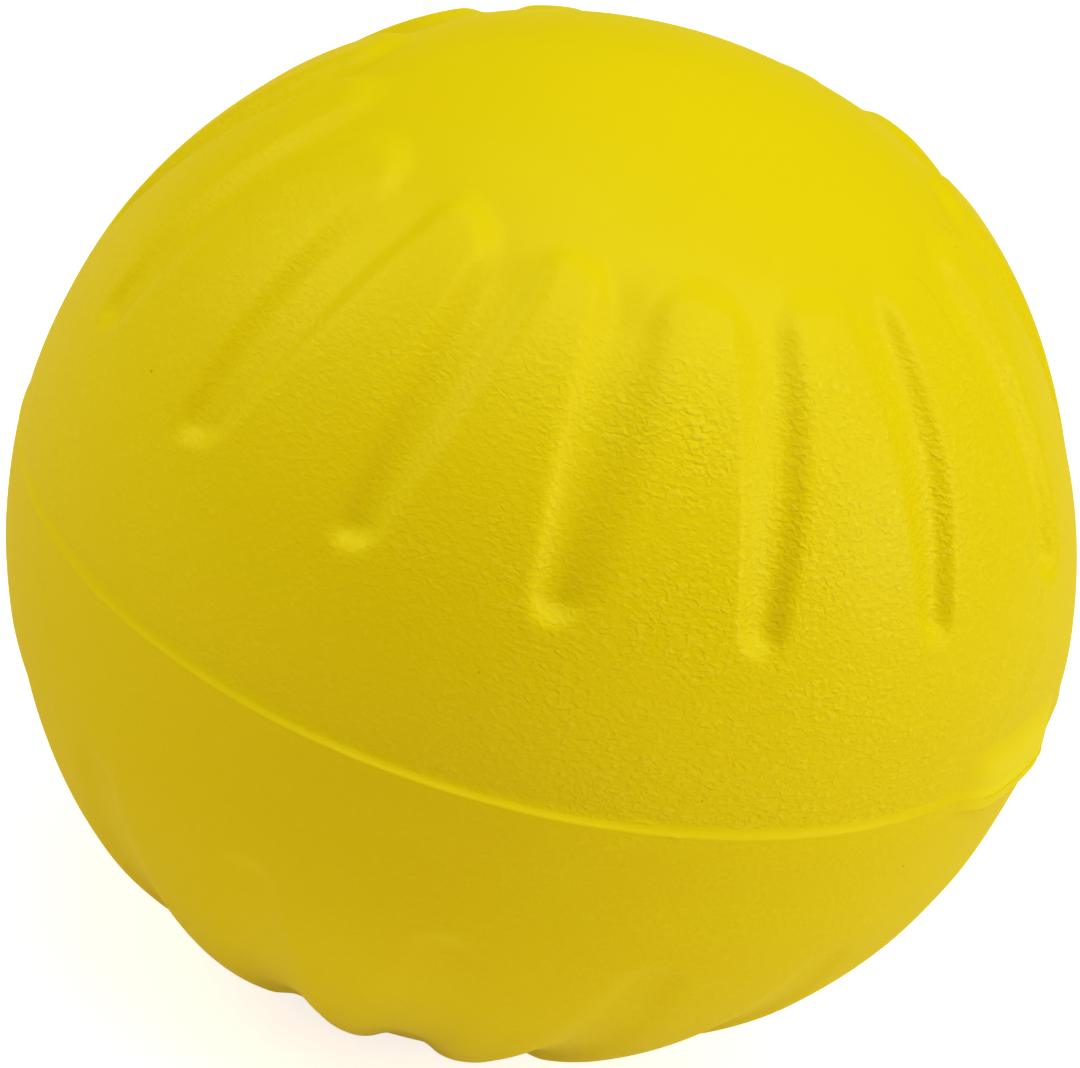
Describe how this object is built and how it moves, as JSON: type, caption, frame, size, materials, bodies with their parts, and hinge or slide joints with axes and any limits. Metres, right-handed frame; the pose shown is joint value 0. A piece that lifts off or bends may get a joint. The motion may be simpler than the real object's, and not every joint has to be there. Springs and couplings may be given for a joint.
{
  "type": "dog fetch ball",
  "caption": "Yellow moulded foam fetch ball for dogs, with raised lands between flutes along the meridians of both halves, lowered polar caps, a fine raised parting line and a trimmed gate stub.",
  "frame": {"origin": "centre of the ball, on the parting plane between the halves", "axes": "+Z along the moulding axis, normal to the parting plane, out of the upper half's pole; -Y is longitude 0, and the gate stub lies on the parting line 70 degrees from it towards +X"},
  "size_m": [0.0706, 0.0706, 0.0688],
  "materials": {
    "foam_skin": "satin moulded skin with a fine leathery grain",
    "weld_bead": "satin moulded skin",
    "cut_foam": "matt cut foam"
  },
  "bodies": {
    "root": {"upper_half": "foam_skin", "lower_half": "foam_skin", "weld_seam": "weld_bead", "gate_stub": "cut_foam"}
  },
  "joints": []
}
